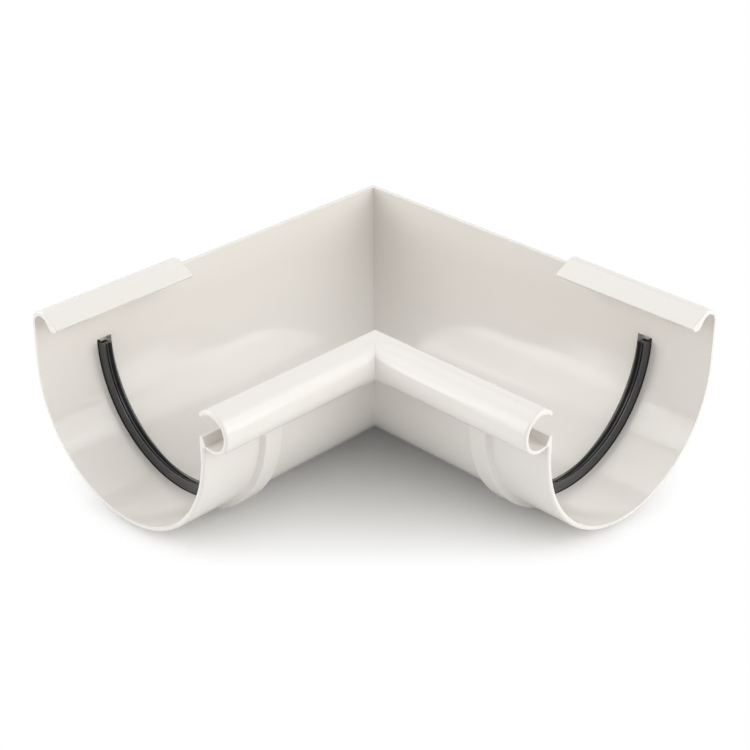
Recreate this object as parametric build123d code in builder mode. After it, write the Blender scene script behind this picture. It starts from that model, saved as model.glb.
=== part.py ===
from build123d import *
import math
import os

# Internal corner for half-round rainwater gutter, moulded in one piece, with a rubber seal in each socket.
# Millimetres. Two arms leave the corner along +X and +Y and meet on the 45 degree mitre plane.
# Each arm's section is drawn as (t, z): t from the arm's back face towards its bead,
# z up from the channel's centre. Lengths along an arm run from the back corner.

# Channel
arm_length = 213.0
channel_radius = 57.0
wall = 2.1
back_height = 21.0
rim_radius = 1.0
rim_tolerance = 0.5

# Bead along the front edge: a C-shaped tube, open towards the trough
bead_inner_radius = 7.9
bead_wall = 2.0
bead_overhang = 5.1
bead_centre_height = 13.7
bead_lip_angle = 135.0
bead_edge_rise = 0.7
bead_root_radius = 0.8

# Upright lip inside the bead's opening
lip_height = 9.7
lip_tip_width = 1.7
lip_foot_width = 3.5

# Hook over the back edge at each socket, with a nose that snaps behind the gutter's own edge
hook_length = 77.2
hook_overlap = 4.2
hook_inner_radius = 4.8
hook_slope = 28.0
hook_flange_length = 9.0
nose_slope = 52.0
nose_length = 3.6
nose_radius = 3.6

# Groove for the seal and the collar around it
seal_setback = 36.45
groove_width = 7.9
groove_depth = 3.4
groove_end_rise = 0.35
collar_rise = 2.7
collar_side_wall = 1.9
collar_draft_run = 1.2
collar_end_wall = 2.0

# Rubber seal: a hollow strip with lips that stand into the channel, on a stem at the groove's mouth side
seal_clearance = 0.3
seal_end_gap = 1.4
seal_width = 4.2
seal_stem_width = 1.9
seal_proud = 5.1
seal_hollow_radius = 0.8
seal_hollow_height = 1.6

# Lips and valleys of the seal's face, as places across it from its mitre side and drops from its crest
mitre_lip_width = 0.4
mitre_lip_drop = 0.3
wide_valley = 1.3
wide_valley_drop = 1.6
ridge = 2.4
ridge_drop = 0.4
narrow_valley = 3.0
narrow_valley_drop = 1.1
mouth_lip_width = 0.7

# Derived places, with the origin under the middle of the whole part, on the level that it stands on
groove_centre = arm_length - seal_setback
collar_base = groove_width + 2 * collar_side_wall
corner = -(arm_length - collar_rise) / 2
base = collar_rise
front_face = 2 * channel_radius
bead_centre = (front_face + bead_overhang, bead_centre_height)
bead_outer_radius = bead_inner_radius + bead_wall
bead_root_angle = -90 - math.degrees(math.asin(bead_overhang / bead_outer_radius))
bead_floor = bead_centre_height - bead_inner_radius
lip_face = front_face - wall
hook_centre = (wall + hook_inner_radius, back_height)
inner_radius = channel_radius - wall
seal_root = groove_depth - seal_clearance
seal_mouth_side = groove_width / 2 - seal_clearance
seal_mitre_side = seal_mouth_side - seal_width
groove_end_turn = math.degrees(groove_end_rise / inner_radius)
seal_end_turn = math.degrees((seal_end_gap - groove_end_rise) / inner_radius)

corner_point = Vector(corner, corner, base)
mitre = Plane(origin=corner_point, x_dir=(1, 1, 0), z_dir=(1, -1, 0))
axis_point = corner_point + Vector(0, channel_radius, channel_radius)
channel_axis = Axis(axis_point, (1, 0, 0))


def section_plane(along):
    """Plane across the +X arm at a length along it, with local axes t and z."""
    return Plane(origin=corner_point + Vector(along, 0, channel_radius), x_dir=(0, 1, 0), z_dir=(1, 0, 0))


def groove_plane(radius, turn=0.0):
    """Plane across the groove at some degrees down from the channel's back side.

    Its origin is over the groove's middle at a radius from the channel's axis,
    and its local axes are the length along the arm and the way out from the axis.
    """
    down = math.radians(turn)
    outward = Vector(0, -math.cos(down), -math.sin(down))
    origin = axis_point + Vector(groove_centre, 0, 0) + outward * radius
    return Plane(origin=origin, x_dir=(1, 0, 0), z_dir=(0, math.sin(down), -math.cos(down)))


def draw_wall():
    """Draw the outer line of the back wall, the half-round channel and the front wall."""
    Line((0, back_height), (0, 0))
    CenterArc((channel_radius, 0), channel_radius, 180, 180)
    Line((front_face, 0), (front_face, bead_floor))


def draw_bead(radius, start):
    """Draw one round line of the bead, from a start angle to its free edge."""
    return CenterArc(bead_centre, radius, start, bead_lip_angle - start)


def draw_bend(radius, slope, straight):
    """Draw one side of the hook, a bend over the back edge and a straight line down the slope."""
    bend = CenterArc(hook_centre, radius, 180, -90 - slope)
    return bend, PolarLine(bend @ 1, straight, -slope)


with BuildPart() as angle_body:
    # Half-round channel with its upright back and front walls
    with BuildSketch(section_plane(0)):
        with BuildLine():
            draw_wall()
            offset(amount=wall, side=Side.LEFT)
        make_face()
        # Bead with its rounded free edge, and the floor and lip that join it to the front wall
        with BuildLine():
            outer_round = draw_bead(bead_outer_radius, bead_root_angle)
            inner_round = draw_bead(bead_inner_radius, -90)
            SagittaArc(outer_round @ 1, inner_round @ 1, -bead_edge_rise)
            Polyline(
                inner_round @ 0,
                (lip_face + lip_foot_width, bead_floor),
                (lip_face + lip_tip_width, lip_height),
                (lip_face, lip_height),
                (lip_face, 0),
                (front_face, 0),
                outer_round @ 0,
            )
        make_face()
        fillet(vertices().sort_by_distance(outer_round @ 0)[0], radius=bead_root_radius)
    extrude(amount=arm_length)
    split(bisect_by=mitre, keep=Keep.TOP)

    # Hook over the back edge, from the mouth inwards
    with BuildSketch(section_plane(arm_length - hook_length)):
        with BuildLine():
            outer_bend, top = draw_bend(hook_inner_radius + wall, hook_slope, hook_flange_length)
            inner_bend, nose = draw_bend(hook_inner_radius, nose_slope, nose_length)
            RadiusArc(nose @ 1, top @ 1, -nose_radius)
            Polyline(inner_bend @ 0, (wall, back_height - hook_overlap), (0, back_height - hook_overlap), outer_bend @ 0)
        make_face()
    extrude(amount=hook_length)

    # Rounded outer rim of the mouth
    with BuildLine(section_plane(arm_length), mode=Mode.PRIVATE) as outside:
        draw_wall()
        draw_bead(bead_outer_radius, bead_root_angle)
        draw_bend(hook_inner_radius + wall, hook_slope, hook_flange_length)
    mouth = angle_body.faces().filter_by(Axis.X).sort_by(Axis.X)[-1]
    rim = mouth.edges().filter_by(lambda edge: outside.line.distance_to(edge @ 0.5) < rim_tolerance)
    fillet(rim, radius=rim_radius)

    # Collar outside, around the groove, carried a little above the groove's ends
    for turn in (180, 0):
        with BuildSketch(groove_plane(channel_radius, turn)) as collar_section:
            with BuildLine():
                Polyline(
                    (-collar_base / 2, -wall / 2),
                    (collar_base / 2, -wall / 2),
                    (collar_base / 2, 0),
                    (collar_base / 2 - collar_draft_run, collar_rise),
                    (collar_draft_run - collar_base / 2, collar_rise),
                    (-collar_base / 2, 0),
                    close=True,
                )
            make_face()
        extrude(amount=collar_end_wall, dir=(0, 0, 1))
    revolve(collar_section.sketch, axis=channel_axis, revolution_arc=180)

    # Groove inside
    with BuildSketch(groove_plane(inner_radius, -groove_end_turn)):
        Rectangle(groove_width, groove_depth, align=(Align.CENTER, Align.MIN))
    revolve(axis=channel_axis, revolution_arc=180 + 2 * groove_end_turn, mode=Mode.SUBTRACT)

    mirror(about=mitre)

with BuildPart() as seal_x_arm:
    with BuildSketch(groove_plane(inner_radius, seal_end_turn)):
        with BuildLine():
            Polyline(
                (seal_mouth_side - seal_stem_width, seal_root),
                (seal_mouth_side - seal_stem_width, 0),
                (seal_mitre_side, 0),
                (seal_mitre_side, mitre_lip_drop - seal_proud),
                (seal_mitre_side + mitre_lip_width, mitre_lip_drop - seal_proud),
                (seal_mitre_side + wide_valley, wide_valley_drop - seal_proud),
                (seal_mitre_side + ridge, ridge_drop - seal_proud),
                (seal_mitre_side + narrow_valley, narrow_valley_drop - seal_proud),
                (seal_mouth_side - mouth_lip_width, -seal_proud),
                (seal_mouth_side, -seal_proud),
                (seal_mouth_side, seal_root),
                close=True,
            )
        make_face()
        with Locations((seal_mouth_side - seal_width / 2, -seal_hollow_height)):
            RegularPolygon(seal_hollow_radius, 6, mode=Mode.SUBTRACT)
    revolve(axis=channel_axis, revolution_arc=180 - 2 * seal_end_turn)

with BuildPart() as seal_y_arm:
    mirror(seal_x_arm.part, about=mitre)

angle_body.part.label = "angle_body"
seal_x_arm.part.label = "seal_x_arm"
seal_y_arm.part.label = "seal_y_arm"

os.makedirs("parts", exist_ok=True)
export_step(angle_body.part, "parts/angle_body.step")
export_step(seal_x_arm.part, "parts/seal_x_arm.step")
export_step(seal_y_arm.part, "parts/seal_y_arm.step")
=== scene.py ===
"""Internal corner for half-round rainwater gutter: the moulding, its seals and the studio.

Sections are drawn in mm as (t, z): t from an arm's back face towards its bead, z up from the
channel's centre. Lengths along an arm run from the back corner, where the two back walls meet.
"""

import logging
import math
from collections.abc import Iterator, Sequence
from dataclasses import dataclass, field
from enum import Enum
from itertools import pairwise

import bmesh
import bpy
from mathutils import Matrix, Vector
from mathutils.geometry import tessellate_polygon

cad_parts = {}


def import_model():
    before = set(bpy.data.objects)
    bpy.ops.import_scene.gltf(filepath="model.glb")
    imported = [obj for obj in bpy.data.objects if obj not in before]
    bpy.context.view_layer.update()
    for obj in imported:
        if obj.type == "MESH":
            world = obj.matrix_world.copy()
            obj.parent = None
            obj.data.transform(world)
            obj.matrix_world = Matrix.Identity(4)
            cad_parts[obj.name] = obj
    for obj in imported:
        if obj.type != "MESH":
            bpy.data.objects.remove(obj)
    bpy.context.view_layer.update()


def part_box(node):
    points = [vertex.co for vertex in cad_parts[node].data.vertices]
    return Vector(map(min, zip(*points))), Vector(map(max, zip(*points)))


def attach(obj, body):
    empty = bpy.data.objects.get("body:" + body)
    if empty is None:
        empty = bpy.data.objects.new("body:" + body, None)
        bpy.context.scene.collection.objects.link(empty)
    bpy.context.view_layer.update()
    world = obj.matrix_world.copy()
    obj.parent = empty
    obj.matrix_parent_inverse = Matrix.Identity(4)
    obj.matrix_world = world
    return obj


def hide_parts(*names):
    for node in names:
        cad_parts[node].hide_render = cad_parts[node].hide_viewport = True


LOG = logging.getLogger("gutter_angle")
Point = tuple[float, float]
Colour = tuple[float, float, float, float]
WHITE: Colour = (1.0, 1.0, 1.0, 1.0)

# One mm in metres, and the distance in metres at which vertices become one.
MM = 0.001
WELD = 1e-7
# Distance in mm at which two points of a section count as one.
SAME_SPOT = 1e-6
# Angle from which an edge stays sharp, and how much large faces count in the normals.
CREASE = math.radians(32.0)
FLAT_WEIGHT = 100
# Direction of the photograph's side, in degrees from +X towards +Y.
PHOTO_SIDE = 45.0
DIAGONAL = math.sqrt(0.5)


class Arm(Enum):
    """The two arms of the corner, named for the way that they leave it."""

    X = "x"
    Y = "y"


class Slot(Enum):
    """Material slots that the record names."""

    BODY = "body"
    SEAL = "seal"


class Zone(Enum):
    """What a line of the section may do along the arm."""

    PLAIN = "plain"
    COLLAR = "collar"
    GROOVE = "groove"


def arc(centre: Point, radius: float, start: float, end: float, steps: int) -> list[Point]:
    """Points along a round line.

    Args:
        centre: Centre of the arc.
        radius: Its radius.
        start: Angle of its first point, in degrees.
        end: Angle of its last point, in degrees.
        steps: Number of equal steps.

    Returns:
        The points from start to end, both included.
    """
    turns = (math.radians(start + (end - start) * step / steps) for step in range(steps + 1))
    return [
        (centre[0] + radius * math.cos(turn), centre[1] + radius * math.sin(turn)) for turn in turns
    ]


def bulge(first: Point, last: Point, rise: float, steps: int) -> list[Point]:
    """Points along a shallow arc between two points.

    Args:
        first: First point.
        last: Last point.
        rise: How far the arc stands out on its right-hand side.
        steps: Number of equal steps.

    Returns:
        The points between the two, without them.
    """
    span = Vector(last) - Vector(first)
    half = span.length / 2
    radius = (half * half + rise * rise) / (2 * rise)
    right = Vector((span.y, -span.x)).normalized()
    centre = (Vector(first) + Vector(last)) / 2 + right * (rise - radius)
    reach = math.asin(min(1.0, half / radius))
    along = span.normalized()
    line: list[Point] = []
    for step in range(1, steps):
        turn = reach * (2 * step / steps - 1)
        spot = centre + right * (radius * math.cos(turn)) + along * (radius * math.sin(turn))
        line.append(tuple(spot))
    return line


def rounded(
    points: Sequence[Point], radii: Sequence[float], steps: int = 4, closed: bool = False
) -> list[Point]:
    """Round the corners of a line of points.

    Args:
        points: The corners.
        radii: Radius at each corner; at 0 the corner stays as it is.
        steps: Number of steps of each rounded corner.
        closed: Whether the last point joins the first.

    Returns:
        The line with its corners rounded.
    """
    line: list[Point] = []
    for index, (corner, radius) in enumerate(zip(points, radii, strict=True)):
        if radius <= 0.0 or (not closed and index in (0, len(points) - 1)):
            line.append(tuple(corner))
            continue
        here = Vector(corner)
        back = (Vector(points[index - 1]) - here).normalized()
        ahead = (Vector(points[(index + 1) % len(points)]) - here).normalized()
        half = back.angle(ahead) / 2
        middle = here + (back + ahead).normalized() * (radius / math.sin(half))
        leave = here + back * (radius / math.tan(half)) - middle
        arrive = here + ahead * (radius / math.tan(half)) - middle
        sweep = leave.angle_signed(arrive)
        for step in range(steps + 1):
            turn = -sweep * step / steps
            spoke = Vector((
                leave.x * math.cos(turn) - leave.y * math.sin(turn),
                leave.x * math.sin(turn) + leave.y * math.cos(turn),
            ))
            line.append(tuple(middle + spoke))
    return line


@dataclass(frozen=True)
class Line:
    """One lengthwise line of the moulding: a point of the section, carried along the arm.

    Attributes:
        t: Place across the arm.
        z: Height.
        rim: Radius of the mouth's rounded rim at this line.
        zone: Whether the collar or the groove moves it.
    """

    t: float
    z: float
    rim: float
    zone: Zone = Zone.PLAIN


@dataclass(frozen=True)
class Row:
    """One station of the moulding along the arm.

    Attributes:
        outer: Length along the arm outside, or None on the mitre.
        inner: Length along the arm inside.
        rise: Height of the collar there.
        sink: Depth of the groove there.
        turn: Angle of the mouth's rounded rim, in degrees, or None before it.
    """

    outer: float | None
    inner: float = 0.0
    rise: float = 0.0
    sink: float = 0.0
    turn: float | None = None


@dataclass(frozen=True)
class Channel:
    """Half-round channel with its upright back and front walls.

    Attributes:
        radius: Outer radius.
        wall: Wall thickness.
        back_height: Height of the back wall's top edge.
        edge: Radius of small rounded edges.
        steps: Steps round the half circle.
    """

    radius: float = 57.0
    wall: float = 2.1
    back_height: float = 21.0
    edge: float = 0.35
    steps: int = 96

    @property
    def front(self) -> float:
        """Place of the front wall's outer face."""
        return 2 * self.radius

    @property
    def inner_radius(self) -> float:
        """Inner radius."""
        return self.radius - self.wall


@dataclass(frozen=True)
class FrontBead:
    """C-shaped bead along the front edge, with the upright lip inside its opening.

    Attributes:
        inner_radius: Inner radius.
        wall: Wall thickness.
        overhang: Distance of its centre in front of the front wall.
        height: Height of its centre.
        free_angle: Angle of its free edge, in degrees.
        edge_rise: How far the free edge is rounded out.
        root_radius: Radius of the notch below it.
        lip_height: Height of the lip.
        lip_tip: Width of the lip's tip.
        lip_foot: Width of the lip's foot.
        root_steps: Steps round the notch.
        outer_steps: Steps round its outside.
        inner_steps: Steps round its inside.
        edge_steps: Steps round its free edge.
    """

    inner_radius: float = 7.9
    wall: float = 2.0
    overhang: float = 5.1
    height: float = 13.7
    free_angle: float = 135.0
    edge_rise: float = 0.7
    root_radius: float = 0.8
    lip_height: float = 9.7
    lip_tip: float = 1.7
    lip_foot: float = 3.5
    root_steps: int = 6
    outer_steps: int = 72
    inner_steps: int = 64
    edge_steps: int = 8

    def outside(self, front: float) -> list[Point]:
        """Outline from the notch below the bead, round its outside.

        Args:
            front: Place of the front wall's outer face.

        Returns:
            Points up to the free edge.
        """
        radius = self.inner_radius + self.wall
        centre = (front + self.overhang, self.height)
        across = self.overhang - self.root_radius
        down = math.sqrt((radius + self.root_radius) ** 2 - across**2)
        notch = (front + self.root_radius, self.height - down)
        meet = math.degrees(math.atan2(down, across))
        root = arc(notch, self.root_radius, 180.0, meet, self.root_steps)
        return root + arc(centre, radius, meet - 180.0, self.free_angle, self.outer_steps)[1:]

    def inside(self, front: float) -> list[Point]:
        """Outline from the free edge, round the bead's inside to the middle of its floor.

        Args:
            front: Place of the front wall's outer face.

        Returns:
            The points.
        """
        centre = (front + self.overhang, self.height)
        return arc(centre, self.inner_radius, self.free_angle, -90.0, self.inner_steps)

    def lip(self, face: float, edge: float) -> list[Point]:
        """Outline from the bead's floor over the lip.

        Args:
            face: Place of the front wall's inner face.
            edge: Radius of small rounded edges.

        Returns:
            Points that end on the front wall's inner face.
        """
        floor = self.height - self.inner_radius
        corners = [
            (face + self.wall + self.overhang, floor),
            (face + self.lip_foot, floor),
            (face + self.lip_tip, self.lip_height),
            (face, self.lip_height),
            (face, floor),
        ]
        return rounded(corners, (0.0, edge, edge, edge, 0.0))[1:-1]


@dataclass(frozen=True)
class BackHook:
    """Hook over the back edge at a socket, with a nose that snaps behind the gutter's own edge.

    Attributes:
        length: Length from the mouth inwards.
        inner_radius: Inner radius of its bend.
        slope: Slope of its top, in degrees.
        flange: Length of its straight top.
        nose_slope: Slope of its underside, in degrees.
        nose_length: Length of its underside.
        nose_radius: Radius of the nose.
        rim_stop: Distance before its tip at which the wide rim stops, in radii of that rim.
        bend_steps: Steps round its bend.
        nose_steps: Steps round the nose.
    """

    length: float = 77.2
    inner_radius: float = 4.8
    slope: float = 28.0
    flange: float = 9.0
    nose_slope: float = 52.0
    nose_length: float = 3.6
    nose_radius: float = 3.6
    rim_stop: float = 1.5
    bend_steps: int = 28
    nose_steps: int = 12

    def outline(self, channel: Channel, rim: float) -> list[Line]:
        """Outline from the back wall's outer face over the hook to the wall's inner face.

        Args:
            channel: The channel whose back wall carries it.
            rim: Radius of the mouth's rounded rim outside.

        Returns:
            Its lengthwise lines.
        """
        centre = (channel.wall + self.inner_radius, channel.back_height)
        outer_radius = self.inner_radius + channel.wall
        over = arc(centre, outer_radius, 180.0, 90.0 - self.slope, self.bend_steps)
        under = arc(centre, self.inner_radius, 90.0 - self.nose_slope, 180.0, self.bend_steps)
        tip = self.downhill(over[-1], self.flange, self.slope)
        nose = self.downhill(under[0], self.nose_length, self.nose_slope)
        half = math.dist(tip, nose) / 2
        rise = self.nose_radius - math.sqrt(self.nose_radius**2 - half**2)
        belly = bulge(nose, tip, rise, self.nose_steps)[::-1]
        corner = rounded([over[-1], tip, belly[0]], (0.0, channel.edge, 0.0))[1:-1]
        share = 1.0 - self.rim_stop * rim / self.flange
        reach = Vector(over[-1]).lerp(Vector(corner[0]), share)
        lines = [Line(*point, rim) for point in [*over, tuple(reach)]]
        below = [*corner, *belly[1:], nose, *under]
        return lines + [Line(*point, channel.edge / 2) for point in below]

    @staticmethod
    def downhill(start: Point, run: float, slope: float) -> Point:
        """Follow a straight slope down, away from the back wall.

        Args:
            start: Where it starts.
            run: Its length.
            slope: Its slope, in degrees.

        Returns:
            Where it ends.
        """
        fall = math.radians(slope)
        return (start[0] + run * math.cos(fall), start[1] - run * math.sin(fall))


@dataclass(frozen=True)
class SealSocket:
    """Groove for the seal inside and the collar around it outside.

    Attributes:
        setback: Distance of the groove's middle from the mouth.
        width: Width of the groove.
        depth: Depth of the groove.
        end_rise: Height of the groove's ends above the channel's centre.
        collar_rise: Height of the collar.
        collar_wall: Width of the collar's wall beside the groove.
        collar_run: Run of the collar's sloped sides.
        collar_end: Height of the collar's ends above the channel's centre.
        groove_edge: Radius of the groove's edges.
        collar_edge: Radius of the collar's edges.
    """

    setback: float = 36.45
    width: float = 7.9
    depth: float = 3.4
    end_rise: float = 0.35
    collar_rise: float = 2.7
    collar_wall: float = 1.9
    collar_run: float = 1.2
    collar_end: float = 2.0
    groove_edge: float = 0.2
    collar_edge: float = 0.4

    def rows(self, arm_length: float) -> list[Row]:
        """Stations across the collar and the groove.

        Args:
            arm_length: Length of the arm.

        Returns:
            The stations, from the mitre side to the mouth side.
        """
        middle = arm_length - self.setback
        foot = self.width / 2 + self.collar_wall
        away = foot + self.collar_wall
        half = self.width / 2
        collar = [(-away, 0.0), (-foot, 0.0), (self.collar_run - foot, self.collar_rise)]
        collar += [(-s, rise) for s, rise in reversed(collar)]
        groove = [(-away, 0.0), (-half, 0.0), (-half, self.depth)]
        groove += [(-s, sink) for s, sink in reversed(groove)]
        outside = rounded(collar, (0.0,) + (self.collar_edge,) * 4 + (0.0,))
        inside = rounded(groove, (0.0,) + (self.groove_edge,) * 4 + (0.0,))
        return [
            Row(middle + outer, middle + inner, rise, sink)
            for (outer, rise), (inner, sink) in zip(outside, inside, strict=True)
        ]


class Finish:
    """A material that is laid node by node.

    Attributes:
        material: The material.
        shader: Its Principled BSDF.
        place: Place on the part, which all of its noise follows.
    """

    def __init__(self, name: str, ior: float) -> None:
        """Start a material.

        Args:
            name: Its name.
            ior: Its index of refraction.
        """
        self.material = bpy.data.materials.new(name)
        self.material.use_nodes = True
        self.shader = self.material.node_tree.nodes["Principled BSDF"]
        self.shader.inputs["IOR"].default_value = ior
        self.place = self.add("ShaderNodeTexCoord").outputs["Object"]

    def add(self, kind: str) -> bpy.types.Node:
        """Add a node of some kind."""
        return self.material.node_tree.nodes.new(kind)

    def link(self, source: bpy.types.NodeSocket, target: bpy.types.NodeSocket) -> None:
        """Link one node's output to another node's input."""
        self.material.node_tree.links.new(source, target)

    def noise(self, size: float, detail: float = 2.0) -> bpy.types.NodeSocket:
        """Add soft noise.

        Args:
            size: Size of its patches, in metres.
            detail: Number of its finer layers.

        Returns:
            Its value, from 0 to 1.
        """
        node = self.add("ShaderNodeTexNoise")
        node.inputs["Scale"].default_value = 1.0 / size
        node.inputs["Detail"].default_value = detail
        self.link(self.place, node.inputs["Vector"])
        return node.outputs["Fac"]

    def tint(self, noise: bpy.types.NodeSocket, low: Colour, high: Colour) -> None:
        """Let the base colour follow some noise.

        Args:
            noise: The noise.
            low: Colour where it is 0.
            high: Colour where it is 1.
        """
        node = self.add("ShaderNodeMix")
        node.data_type = "RGBA"
        node.inputs["A"].default_value = low
        node.inputs["B"].default_value = high
        self.link(noise, node.inputs["Factor"])
        self.link(node.outputs["Result"], self.shader.inputs["Base Color"])

    def polish(self, noise: bpy.types.NodeSocket, low: float, high: float) -> None:
        """Let the roughness follow some noise.

        Args:
            noise: The noise.
            low: Roughness where it is 0.
            high: Roughness where it is 1.
        """
        node = self.add("ShaderNodeMapRange")
        node.inputs["To Min"].default_value = low
        node.inputs["To Max"].default_value = high
        self.link(noise, node.inputs["Value"])
        self.link(node.outputs["Result"], self.shader.inputs["Roughness"])

    def relief(self, *layers: tuple[bpy.types.NodeSocket, float]) -> None:
        """Let the surface rise and fall with layers of noise.

        Args:
            layers: Each layer's noise and its height in metres, the lowest layer first.
        """
        below: bpy.types.NodeSocket | None = None
        for noise, height in layers:
            node = self.add("ShaderNodeBump")
            node.inputs["Distance"].default_value = height
            self.link(noise, node.inputs["Height"])
            if below is not None:
                self.link(below, node.inputs["Normal"])
            below = node.outputs["Normal"]
        self.link(below, self.shader.inputs["Normal"])


@dataclass(frozen=True)
class GlossPlastic:
    """Warm off-white rigid plastic with the soft gloss of a polished mould.

    Attributes:
        name: Name of the material.
        colour: Base colour, linear.
        faint: Share of that colour where the plastic is at its darkest.
        ior: Index of refraction.
        tone_size: Size of the patches of tone and polish, in metres.
        roughness: Mean roughness of the surface.
        roughness_spread: How far the roughness wanders from its mean.
        ripple_size: Size of the mould's gentle waves, in metres.
        ripple_height: Height of those waves, in metres.
        grain_size: Size of the fine surface grain, in metres.
        grain_height: Height of the fine surface grain, in metres.
    """

    name: str = "off_white_gloss_plastic"
    colour: Colour = (0.80, 0.77, 0.726, 1.0)
    faint: float = 0.985
    ior: float = 1.53
    tone_size: float = 0.1
    roughness: float = 0.12
    roughness_spread: float = 0.02
    ripple_size: float = 0.05
    ripple_height: float = 0.00002
    grain_size: float = 0.0012
    grain_height: float = 0.000001

    def build(self) -> bpy.types.Material:
        """Make the material.

        Returns:
            The node-based material.
        """
        finish = Finish(self.name, self.ior)
        tone = finish.noise(self.tone_size, detail=3.0)
        finish.tint(tone, tuple(c * self.faint for c in self.colour[:3]) + (1.0,), self.colour)
        low = self.roughness - self.roughness_spread
        finish.polish(tone, low, self.roughness + self.roughness_spread)
        waves = finish.noise(self.ripple_size, detail=1.0)
        grain = finish.noise(self.grain_size)
        finish.relief((waves, self.ripple_height), (grain, self.grain_height))
        return finish.material


@dataclass(frozen=True)
class SealRubber:
    """Black extruded rubber with a slight sheen.

    Attributes:
        name: Name of the material.
        colour: Base colour, linear.
        roughness: Roughness where the rubber is clean and where it has bloomed.
        ior: Index of refraction of its waxed skin.
        bloom: Colour of the faint grey bloom, linear.
        bloom_size: Size of the bloom's patches, in metres.
        grain_size: Size of the skin's fine grain, in metres.
        grain_height: Height of that grain, in metres.
    """

    name: str = "black_seal_rubber"
    colour: Colour = (0.018, 0.018, 0.019, 1.0)
    roughness: tuple[float, float] = (0.11, 0.22)
    ior: float = 1.62
    bloom: Colour = (0.032, 0.032, 0.033, 1.0)
    bloom_size: float = 0.006
    grain_size: float = 0.0004
    grain_height: float = 0.000002

    def build(self) -> bpy.types.Material:
        """Make the material.

        Returns:
            The node-based material.
        """
        finish = Finish(self.name, self.ior)
        patches = finish.noise(self.bloom_size, detail=4.0)
        finish.tint(patches, self.colour, self.bloom)
        finish.polish(patches, *self.roughness)
        finish.relief((finish.noise(self.grain_size), self.grain_height))
        return finish.material


@dataclass(frozen=True)
class Site:
    """Where the part stands in the frame, in mm.

    Attributes:
        corner: Place of the back corner along +X and along +Y.
        level: Height of the channel's centre.
    """

    corner: float
    level: float

    def place(self, arm: Arm, along: float, t: float, z: float) -> Vector:
        """Turn a place on an arm into a place in the frame.

        Args:
            arm: The arm.
            along: Length along the arm.
            t: Place across the arm.
            z: Height above the channel's centre.

        Returns:
            The place in the frame, in metres.
        """
        across, ahead = (self.corner + t, self.corner + along)
        if arm is Arm.X:
            return Vector((ahead, across, self.level + z)) * MM
        return Vector((across, ahead, self.level + z)) * MM


def set_down(name: str, data: bpy.types.ID) -> bpy.types.Object:
    """Put an object into the scene.

    Args:
        name: Name of the object.
        data: Its mesh, lamp or camera.

    Returns:
        The object.
    """
    thing = bpy.data.objects.new(name, data)
    bpy.context.scene.collection.objects.link(thing)
    return thing


def piece_of(mesh: bmesh.types.BMesh, name: str, material: bpy.types.Material) -> bpy.types.Object:
    """Make a finished piece from its mesh.

    Args:
        mesh: The mesh, which is freed.
        name: Name of the piece.
        material: Its finish.

    Returns:
        The piece, linked to the scene, with its creases marked and its flat faces kept flat.
    """
    bmesh.ops.remove_doubles(mesh, verts=mesh.verts, dist=WELD)
    bmesh.ops.recalc_face_normals(mesh, faces=mesh.faces)
    for face in mesh.faces:
        face.smooth = True
    for edge in mesh.edges:
        edge.smooth = len(edge.link_faces) == 2 and edge.calc_face_angle(0.0) < CREASE
    data = bpy.data.meshes.new(name)
    mesh.to_mesh(data)
    mesh.free()
    data.materials.append(material)
    piece = set_down(name, data)
    weights = piece.modifiers.new("flat_faces", "WEIGHTED_NORMAL")
    weights.weight = FLAT_WEIGHT
    weights.keep_sharp = True
    return piece


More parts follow.
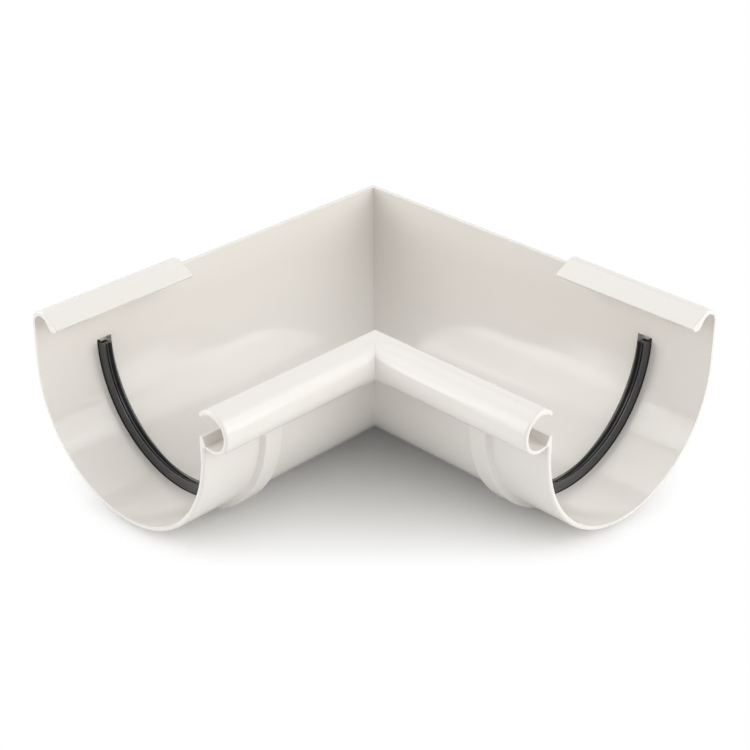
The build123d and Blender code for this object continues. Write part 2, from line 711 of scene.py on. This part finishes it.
@dataclass
class MouldedBody:
    """The one-piece moulding: channel, back and front walls, bead, hooks and collars.

    Attributes:
        site: Where the part stands.
        arm_length: Length of each arm from the back corner.
        rim_radius: Radius of the mouth's rim outside.
        rim_steps: Steps of the rounded rim.
        channel: The channel.
        bead: The bead along the front edge.
        hook: The hook at each socket.
        socket: Groove and collar of each socket.
        node: CAD node that it stands for.
    """

    site: Site
    arm_length: float = 213.0
    rim_radius: float = 1.0
    rim_steps: int = 6
    channel: Channel = field(default_factory=Channel)
    bead: FrontBead = field(default_factory=FrontBead)
    hook: BackHook = field(default_factory=BackHook)
    socket: SealSocket = field(default_factory=SealSocket)
    node: str = "angle_body"

    def outside(self) -> list[Line]:
        """Lengthwise lines down the back, under the channel, up the front and round the bead.

        Returns:
            Lines from the back wall's top edge to the bead's free edge.
        """
        channel, end, rim = self.channel, self.socket.collar_end, self.rim_radius
        lines = [Line(0.0, channel.back_height - channel.edge, rim)]
        lines += [Line(0.0, end, rim), Line(0.0, end, rim, Zone.COLLAR)]
        for t, z in arc((channel.radius, 0.0), channel.radius, 180.0, 360.0, channel.steps):
            lines.append(Line(t, z, rim, Zone.COLLAR))
        lines += [Line(channel.front, end, rim, Zone.COLLAR), Line(channel.front, end, rim)]
        return lines + [Line(*point, rim) for point in self.bead.outside(channel.front)]

    def inside(self) -> list[Line]:
        """Lengthwise lines from the bead's free edge over the lip and through the channel.

        Returns:
            Lines that end at the back wall's top edge.
        """
        channel, end, rim = self.channel, self.socket.end_rise, self.channel.edge / 2
        face = channel.front - channel.wall
        outer_end = self.bead.outside(channel.front)[-1]
        round_inside = self.bead.inside(channel.front)
        edge = bulge(outer_end, round_inside[0], self.bead.edge_rise, self.bead.edge_steps)
        lines: list[Line] = []
        for step, point in enumerate(edge, start=1):
            narrowed = self.rim_radius + (rim - self.rim_radius) * step / len(edge)
            lines.append(Line(*point, narrowed))
        lines += [Line(*point, rim) for point in round_inside + self.bead.lip(face, channel.edge)]
        lines += [Line(face, end, rim), Line(face, end, rim, Zone.GROOVE)]
        for t, z in arc((channel.radius, 0.0), channel.inner_radius, 360.0, 180.0, channel.steps):
            lines.append(Line(t, z, rim, Zone.GROOVE))
        back = channel.wall
        lines += [Line(back, end, rim, Zone.GROOVE), Line(back, end, rim)]
        return [*lines, Line(back, channel.back_height - channel.edge, rim)]

    def top_edge(self) -> list[Line]:
        """Lengthwise lines over the back wall's top edge, where there is no hook.

        Returns:
            Lines from the wall's inner face to its outer face.
        """
        edge, wall, high = self.channel.edge, self.channel.wall, self.channel.back_height
        corners = [(wall, high - edge), (wall, high), (0.0, high), (0.0, high - edge)]
        round_top = rounded(corners, (0.0, edge, edge, 0.0))[1:-1]
        return [Line(*point, 0.0) for point in round_top]

    def rim(self) -> Iterator[Row]:
        """Give the stations of the mouth's rounded rim."""
        for step in range(self.rim_steps + 1):
            yield Row(self.arm_length, self.arm_length, turn=90.0 * step / self.rim_steps)

    def lay_grid(
        self, mesh: bmesh.types.BMesh, arm: Arm, lines: Sequence[Line], rows: Sequence[Row]
    ) -> list[list[bmesh.types.BMVert]]:
        """Lay lines of the section along some stations of an arm.

        Args:
            mesh: Mesh that takes the vertices.
            arm: The arm.
            lines: Lines of the section in order, the material on their left.
            rows: The stations.

        Returns:
            The vertices, one list for each station.
        """
        spots = [Vector((line.t, line.z)) for line in lines]
        away = [self.outward(spots, index) for index in range(len(spots))]
        grid: list[list[bmesh.types.BMVert]] = []
        for row in rows:
            turn = math.radians(row.turn or 0.0)
            vertices = []
            for line, spot, normal in zip(lines, spots, away, strict=True):
                shift = -line.rim * (1.0 - math.cos(turn))
                shift += row.rise if line.zone is Zone.COLLAR else 0.0
                shift -= row.sink if line.zone is Zone.GROOVE else 0.0
                place = spot + normal * shift
                # Lines with a wide rim follow the stations outside, the others those inside.
                along = row.outer if line.rim > self.channel.edge else row.inner
                if row.outer is None:
                    along = place.x
                if row.turn is not None:
                    along -= line.rim * (1.0 - math.sin(turn))
                vertices.append(mesh.verts.new(self.site.place(arm, along, place.x, place.y)))
            grid.append(vertices)
        return grid

    @staticmethod
    def outward(spots: Sequence[Vector], index: int) -> Vector:
        """Way out of the material at a point of the section.

        Args:
            spots: Points of the section in order, the material on their left.
            index: Which point.

        Returns:
            A vector that moves both neighbouring faces out by one.
        """
        ways: list[Vector] = []
        for step in (-1, 1):
            other = index + step
            while 0 <= other < len(spots):
                edge = (spots[other] - spots[index]) * step
                if edge.length > SAME_SPOT:
                    ways.append(Vector((edge.y, -edge.x)).normalized())
                    break
                other += step
        if len(ways) == 1:
            return ways[0]
        return (ways[0] + ways[1]) / (1.0 + ways[0].dot(ways[1]))

    @staticmethod
    def skin(mesh: bmesh.types.BMesh, grid: Sequence[Sequence[bmesh.types.BMVert]]) -> None:
        """Join the neighbouring vertices of a grid with faces.

        Args:
            mesh: Mesh that takes the faces.
            grid: Its vertices, one list for each station.
        """
        for near, far in pairwise(grid):
            for column in range(len(near) - 1):
                mesh.faces.new((near[column], near[column + 1], far[column + 1], far[column]))

    def lay_arm(self, mesh: bmesh.types.BMesh, arm: Arm) -> None:
        """Lay one arm, from the mitre to its mouth.

        Args:
            mesh: Mesh that takes it.
            arm: The arm.
        """
        walls = self.outside() + self.inside()
        first, last = walls[0], walls[-1]
        hooked = [last, *reversed(self.hook.outline(self.channel, self.rim_radius)), first]
        start = self.arm_length - self.hook.length
        corner_rows = [Row(None), Row(start, start)]
        socket_rows = self.socket.rows(self.arm_length) + list(self.rim())
        wall_grid = self.lay_grid(mesh, arm, walls, corner_rows + socket_rows)
        top_grid = self.lay_grid(mesh, arm, [last, *self.top_edge(), first], corner_rows)
        hook_grid = self.lay_grid(mesh, arm, hooked, corner_rows[1:] + socket_rows)
        for grid in (wall_grid, top_grid, hook_grid):
            self.skin(mesh, grid)
        mesh.faces.new(wall_grid[-1] + hook_grid[-1][1:-1])
        mesh.faces.new(hook_grid[0] + top_grid[-1][-2:0:-1])

    def build(self, material: bpy.types.Material) -> bpy.types.Object:
        """Make the moulding.

        Args:
            material: Its finish.

        Returns:
            The finished piece.
        """
        mesh = bmesh.new()
        for arm in Arm:
            self.lay_arm(mesh, arm)
        piece = piece_of(mesh, "gutter_angle_moulding", material)
        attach(piece, "root")
        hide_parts(self.node)
        return piece


@dataclass(frozen=True)
class FaceCorner:
    """One corner of the seal's face, which meets the gutter.

    Attributes:
        across: Distance from the seal's mitre side.
        drop: Depth below the seal's crest.
        radius: Radius that rounds it.
    """

    across: float
    drop: float
    radius: float


@dataclass
class SocketSeal:
    """The rubber seal in the groove of one socket.

    Its section is drawn in mm across the groove, from the groove's middle towards the mouth, and
    out from the channel's inner face into the groove.

    Attributes:
        arm: Arm whose socket it sits in.
        site: Where the part stands.
        middle: Length along the arm to the groove's middle.
        channel: The channel.
        mouth_side: Place of its mouth-side face.
        width: Width of its body.
        stem: Width of its stem.
        root: Depth of the stem's foot in the groove.
        proud: Height of its crest above the channel's inner face.
        end_gap: Distance of its ends below the channel's centre.
        hollow_radius: Radius of the hollow.
        hollow_height: Height of the hollow's middle.
        foot_round: Radius of the stem's foot.
        bend_round: Radius of the bend between the stem and the body.
        heel_round: Radius of the body's edge beside the groove.
        face: Lip, valley, ridge, valley and lip of its face, from the mitre side to the mouth.
        steps: Steps round the half circle.
        hollow_steps: Steps round the hollow.
    """

    arm: Arm
    site: Site
    middle: float
    channel: Channel = field(default_factory=Channel)
    mouth_side: float = 3.65
    width: float = 4.2
    stem: float = 1.9
    root: float = 3.1
    proud: float = 5.1
    end_gap: float = 1.05
    hollow_radius: float = 0.8
    hollow_height: float = 1.6
    foot_round: float = 0.3
    bend_round: float = 0.2
    heel_round: float = 0.25
    face: tuple[FaceCorner, ...] = (
        FaceCorner(0.0, 0.3, 0.18),
        FaceCorner(0.42, 0.3, 0.18),
        FaceCorner(1.4, 2.0, 0.25),
        FaceCorner(2.5, 0.1, 0.3),
        FaceCorner(3.15, 1.8, 0.12),
        FaceCorner(3.65, 0.0, 0.15),
        FaceCorner(4.2, 0.0, 0.2),
    )
    steps: int = 128
    hollow_steps: int = 20

    @property
    def node(self) -> str:
        """Name of the CAD node that it stands for."""
        return f"seal_{self.arm.value}_arm"

    def section(self) -> list[Point]:
        """Outline of the rubber with its soft lips and valleys.

        Returns:
            The closed outline.
        """
        near = self.mouth_side - self.width
        inner = self.mouth_side - self.stem
        corners = [(inner, self.root), (inner, 0.0), (near, 0.0)]
        corners += [(near + corner.across, corner.drop - self.proud) for corner in self.face]
        corners.append((self.mouth_side, self.root))
        radii = [self.foot_round, self.bend_round, self.heel_round]
        radii += [corner.radius for corner in self.face]
        radii.append(self.foot_round)
        return rounded(corners, radii, closed=True)

    def build(self, material: bpy.types.Material) -> bpy.types.Object:
        """Make the seal.

        Args:
            material: The rubber that both seals share.

        Returns:
            The finished piece.
        """
        mesh = bmesh.new()
        section = self.section()
        middle = (self.mouth_side - self.width / 2, -self.hollow_height)
        hollow = arc(middle, self.hollow_radius, 360.0, 0.0, self.hollow_steps)[:-1]
        first = math.degrees(self.end_gap / self.channel.inner_radius)
        rings: list[list[list[bmesh.types.BMVert]]] = []
        for step in range(self.steps + 1):
            down = math.radians(first + (180.0 - 2 * first) * step / self.steps)
            rings.append([self.ring(mesh, outline, down) for outline in (section, hollow)])
        for near, far in pairwise(rings):
            for inner, outer in zip(near, far, strict=True):
                for column in range(len(inner)):
                    after = (column + 1) % len(inner)
                    mesh.faces.new((inner[column], inner[after], outer[after], outer[column]))
        flat = [[Vector((a, y, 0.0)) for a, y in outline] for outline in (section, hollow)]
        for ends in (rings[0], rings[-1]):
            loose = ends[0] + ends[1]
            for corners in tessellate_polygon(flat):
                mesh.faces.new([loose[index] for index in corners])
        piece = piece_of(mesh, f"socket_seal_{self.arm.value}", material)
        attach(piece, "root")
        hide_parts(self.node)
        return piece

    def ring(
        self, mesh: bmesh.types.BMesh, outline: Sequence[Point], down: float
    ) -> list[bmesh.types.BMVert]:
        """Lay one outline across the seal.

        Args:
            mesh: Mesh that takes the vertices.
            outline: Points across the groove and out from the channel's inner face.
            down: Angle down from the channel's back side, in radians.

        Returns:
            The vertices.
        """
        vertices = []
        for across, out in outline:
            radius = self.channel.inner_radius + out
            t = self.channel.radius - math.cos(down) * radius
            z = -math.sin(down) * radius
            vertices.append(mesh.verts.new(self.site.place(self.arm, self.middle + across, t, z)))
        return vertices


@dataclass(frozen=True)
class SoftLamp:
    """A large soft lamp that faces the part.

    Attributes:
        name: Name of the lamp.
        turn: Direction round the part, in degrees to the right of the photograph's side.
        rise: Height above the floor, in degrees.
        power: Power, in watts.
        width: Width of the lamp, in metres.
        height: Height of the lamp, in metres.
        distance: Distance from the part, in metres.
    """

    name: str
    turn: float
    rise: float
    power: float
    width: float = 1.3
    height: float = 1.2
    distance: float = 1.5

    def build(self) -> None:
        """Hang the lamp where the camera doesn't see it."""
        data = bpy.data.lights.new(self.name, "AREA")
        data.energy = self.power
        data.shape = "RECTANGLE"
        data.size = self.width
        data.size_y = self.height
        lamp = set_down(self.name, data)
        way = direction(self.turn, self.rise)
        lamp.location = way * self.distance
        lamp.rotation_euler = way.to_track_quat("Z", "Y").to_euler()
        lamp.visible_camera = False


def direction(turn: float, rise: float) -> Vector:
    """Direction from the part, told from the photograph's side.

    Args:
        turn: Degrees to the right.
        rise: Degrees above the floor.

    Returns:
        The direction in the frame.
    """
    around, up = math.radians(PHOTO_SIDE + turn), math.radians(rise)
    return Vector((math.cos(around) * math.cos(up), math.sin(around) * math.cos(up), math.sin(up)))


def reckon(
    tree: bpy.types.NodeTree,
    operation: str,
    value: bpy.types.NodeSocket,
    other: bpy.types.NodeSocket | float,
) -> bpy.types.NodeSocket:
    """Add a node that reckons with two values.

    Args:
        tree: Node tree that takes the node.
        operation: What it does with them.
        value: The first value.
        other: The second value.

    Returns:
        The outcome.
    """
    node = tree.nodes.new("ShaderNodeMath")
    node.operation = operation
    tree.links.new(value, node.inputs[0])
    if isinstance(other, float):
        node.inputs[1].default_value = other
    else:
        tree.links.new(other, node.inputs[1])
    return node.outputs["Value"]


@dataclass
class Studio:
    """Pale floor with a painted white glow over its shadow, a white surround a little brighter on
    the right, and soft lamps.

    Attributes:
        site: Where the part stands.
        surround: Strength of the surround on its own.
        side_surround: What it gains on the bright side.
        side_spread: How quickly that fades round the part.
        side_way: Direction of the bright side, in degrees to the right and above the floor.
        floor_size: Side of the square floor, in metres.
        floor_near: How far its small squares reach from the middle, in metres.
        floor_step: Side of those squares, in metres.
        floor_colour: Grey that the floor throws back on the part.
        shade: Distance in mm from the arms, or the gap between them, where the painted glow makes
            the floor fully white.
        shade_lift: Share of painted white glow that the floor has right under the part, in its
            shadow.
        shade_bend: How late the painted glow turns it white before the corner, and at most beside
            the mouths.
        shade_side: Distance to the side in mm from which the painted glow turns it white later.
        shade_rise: How quickly the painted glow turns it white later beyond that distance.
        mouth_lead: How far before a mouth the distance along its arm starts to count for the
            painted glow, in mm.
        lamps: The lamps.
    """

    site: Site
    surround: float = 0.496
    side_surround: float = 0.415
    side_spread: float = 1.5
    side_way: tuple[float, float] = (90.0, 20.0)
    floor_size: float = 12.0
    floor_near: float = 0.4
    floor_step: float = 0.005
    floor_colour: float = 0.9
    shade: float = 85.0
    shade_lift: float = 0.04
    shade_bend: tuple[float, float] = (3.0, 10.0)
    shade_side: float = 50.0
    shade_rise: float = 4.0
    mouth_lead: float = 76.0
    lamps: tuple[SoftLamp, ...] = (
        SoftLamp("front_right", 55.0, 28.0, 6.6),
        SoftLamp("side_right", 93.0, 28.0, 2.6, 0.45, 1.2),
        SoftLamp("low_right", 85.0, 12.0, 2.1, 1.0, 0.75),
        SoftLamp("back_right", 135.0, 45.0, 0.9),
        SoftLamp("front_left", -55.0, 28.0, 1.8),
        SoftLamp("side_left", -93.0, 28.0, 5.5, 0.8, 1.2),
        SoftLamp("low_left", -85.0, 12.0, 3.8, 1.4, 0.85),
        SoftLamp("back_left", -135.0, 45.0, 4.5),
    )

    @staticmethod
    def seen(tree: bpy.types.NodeTree) -> bpy.types.NodeSocket:
        """Tell rays that show a background from those that light the part.

        Args:
            tree: Node tree that takes the nodes.

        Returns:
            Socket that is 1 for camera, glossy and transmission rays.
        """
        path = tree.nodes.new("ShaderNodeLightPath")
        share = path.outputs["Is Camera Ray"]
        for ray in ("Is Glossy Ray", "Is Transmission Ray"):
            share = reckon(tree, "MAXIMUM", share, path.outputs[ray])
        return share

    def surround_world(self) -> None:
        """Light the part softly from all sides, more from the right, with white behind it."""
        world = bpy.data.worlds.new("white_surround")
        bpy.context.scene.world = world
        world.use_nodes = True
        tree = world.node_tree
        place = tree.nodes.new("ShaderNodeTexCoord")
        facing = tree.nodes.new("ShaderNodeVectorMath")
        facing.operation = "DOT_PRODUCT"
        facing.inputs[1].default_value = direction(*self.side_way)
        tree.links.new(place.outputs["Generated"], facing.inputs[0])
        strength = reckon(tree, "MAXIMUM", facing.outputs["Value"], 0.0)
        strength = reckon(tree, "POWER", strength, self.side_spread)
        strength = reckon(tree, "MULTIPLY", strength, self.side_surround)
        strength = reckon(tree, "ADD", strength, self.surround)
        choice = tree.nodes.new("ShaderNodeMix")
        choice.inputs["B"].default_value = 1.0
        tree.links.new(strength, choice.inputs["A"])
        tree.links.new(self.seen(tree), choice.inputs["Factor"])
        background = tree.nodes["Background"]
        background.inputs["Color"].default_value = WHITE
        tree.links.new(choice.outputs["Result"], background.inputs["Strength"])

    def painted_glow_share(self, x: float, y: float) -> float:
        """Share of painted white glow at a place on the floor, which lightens the part's shadow
        there.

        Args:
            x: Place along X, in mm.
            y: Place along Y, in mm.

        Returns:
            Almost 0 near the part and 1 well away from it.
        """
        middle = self.site.corner + Channel().radius
        reach = MouldedBody.arm_length + self.site.corner - self.mouth_lead
        aside = abs(y - x) * DIAGONAL
        # Distance from the middle line of the nearer arm.
        away = math.inf
        for along, across in ((x, y), (y, x)):
            beyond = max(0.0, along - reach, middle - along)
            away = min(away, math.hypot(beyond, across - middle))
        # Between the arms, distance from the straight line that joins the ends of those lines.
        if min(x, y) > middle:
            ahead = max(0.0, (x + y - reach - middle) * DIAGONAL)
            beyond = max(0.0, aside - (reach - middle) * DIAGONAL)
            away = min(away, math.hypot(beyond, ahead))
        # Painted glow: the share of white that lightens the floor's shadow grows with these
        # distances.
        least, most = self.shade_bend
        bend = min(most, least + (aside / self.shade_side) ** self.shade_rise)
        return self.shade_lift + (1.0 - self.shade_lift) * min(1.0, away / self.shade) ** bend

    def lay_floor(self) -> None:
        """Lay the floor, with a painted white glow that fades its shadow out to pure white away
        from the part.
        """
        count = round(2 * self.floor_near / self.floor_step)
        ticks = [self.floor_near * (2 * step / count - 1) for step in range(count + 1)]
        ticks = [-self.floor_size / 2, *ticks, self.floor_size / 2]
        spots = [(x, y, 0.0) for y in ticks for x in ticks]
        width = len(ticks)
        corners = [row * width + column for row in range(width - 1) for column in range(width - 1)]
        mesh = bpy.data.meshes.new("studio_floor")
        mesh.from_pydata(spots, [], [(c, c + 1, c + 1 + width, c + width) for c in corners])
        # Share of painted white glow at each point, which lightens the floor's shadow away from the
        # part.
        fade = mesh.attributes.new("painted_glow_share", "FLOAT", "POINT")
        fade.data.foreach_set("value", [self.painted_glow_share(x / MM, y / MM) for x, y, _ in spots])
        mesh.materials.append(self.floor_paint())
        floor = set_down("studio_floor", mesh)

    def floor_paint(self) -> bpy.types.Material:
        """Make the floor's matt white paint, mixed with the painted white glow that lightens its
        shadow.

        Returns:
            The material.
        """
        material = bpy.data.materials.new("studio_white")
        material.use_nodes = True
        tree = material.node_tree
        tree.nodes.clear()
        seen = self.seen(tree)
        paint = tree.nodes.new("ShaderNodeBsdfDiffuse")
        tone = tree.nodes.new("ShaderNodeMix")
        tone.data_type = "RGBA"
        tone.inputs["A"].default_value = (self.floor_colour,) * 3 + (1.0,)
        tone.inputs["B"].default_value = WHITE
        tree.links.new(seen, tone.inputs["Factor"])
        tree.links.new(tone.outputs["Result"], paint.inputs["Color"])
        # Painted white glow for camera, glossy and transmission rays, which lightens the floor's
        # shadow away from the part.
        glow = tree.nodes.new("ShaderNodeEmission")
        fade = tree.nodes.new("ShaderNodeAttribute")
        fade.attribute_name = "painted_glow_share"
        share = reckon(tree, "MULTIPLY", fade.outputs["Fac"], seen)
        blend = tree.nodes.new("ShaderNodeMixShader")
        tree.links.new(share, blend.inputs["Fac"])
        tree.links.new(paint.outputs["BSDF"], blend.inputs[1])
        tree.links.new(glow.outputs["Emission"], blend.inputs[2])
        output = tree.nodes.new("ShaderNodeOutputMaterial")
        tree.links.new(blend.outputs["Shader"], output.inputs["Surface"])
        return material

    def build(self) -> None:
        """Set up the surround, the floor and the lamps."""
        self.surround_world()
        self.lay_floor()
        for lamp in self.lamps:
            lamp.build()
            LOG.info("hung %s", lamp.name)


@dataclass
class PhotoCamera:
    """Camera at the photograph's viewing angle.

    The camera's place is given from the corner where the two back walls meet, on the level of the
    channel's lowest line: to the right across the view, forward towards the viewer, and up.

    Attributes:
        site: Where the part stands.
        across: Distance to the right of the corner, in mm.
        forward: Distance from the corner towards the viewer, in mm.
        up: Height above the channel's lowest line, in mm.
        pitch: How far it looks down, in degrees.
        turn: How far it turns about the vertical, in degrees.
        lens: Focal length, in mm.
        sensor: Width of the sensor, in mm.
        clip: Nearest and farthest distance that it shows, in metres.
    """

    site: Site
    across: float = -3.73
    forward: float = 871.48
    up: float = 452.02
    pitch: float = 29.11
    turn: float = -0.296
    lens: float = 88.70
    sensor: float = 36.0
    clip: tuple[float, float] = (0.01, 50.0)

    def build(self) -> None:
        """Make the camera and set it as the scene's own."""
        right = Vector((-DIAGONAL, DIAGONAL, 0.0))
        out = Vector((DIAGONAL, DIAGONAL, 0.0))
        rise = Vector((0.0, 0.0, 1.0))
        turn = math.radians(self.turn)
        pitch = math.radians(self.pitch)
        foot = self.site.level - Channel().radius
        place = Vector((self.site.corner, self.site.corner, foot))
        place += right * self.across + out * self.forward + rise * self.up
        look = (-math.sin(turn) * math.cos(pitch)) * right
        look -= (math.cos(turn) * math.cos(pitch)) * out + math.sin(pitch) * rise
        side = math.cos(turn) * right - math.sin(turn) * out
        upward = side.cross(look)
        data = bpy.data.cameras.new("photo_camera")
        data.lens = self.lens
        data.sensor_width = self.sensor
        data.sensor_fit = "HORIZONTAL"
        data.clip_start, data.clip_end = self.clip
        camera = set_down("photo_camera", data)
        axes = Matrix((side, upward, -look)).transposed().to_4x4()
        camera.matrix_world = Matrix.Translation(place * MM) @ axes
        bpy.context.scene.camera = camera


def main() -> None:
    """Load the frame, build each piece over it, and set up the studio and the camera."""
    logging.basicConfig(level=logging.INFO, format="%(name)s: %(message)s")
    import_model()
    bpy.context.scene.view_settings.view_transform = "Standard"

    low = Vector(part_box("angle_body")[0]) / MM
    collar = SealSocket().collar_rise
    site = Site(corner=low.x + collar, level=low.z + collar + Channel().radius)
    body = MouldedBody(site)
    piece = body.build(GlossPlastic().build())
    LOG.info("built %s with %d faces", piece.name, len(piece.data.polygons))
    rubber = SealRubber().build()
    for arm in Arm:
        seal = SocketSeal(arm, site, body.arm_length - body.socket.setback).build(rubber)
        LOG.info("built %s with %d faces", seal.name, len(seal.data.polygons))

    Studio(site).build()
    PhotoCamera(site).build()


if __name__ == "__main__":
    main()
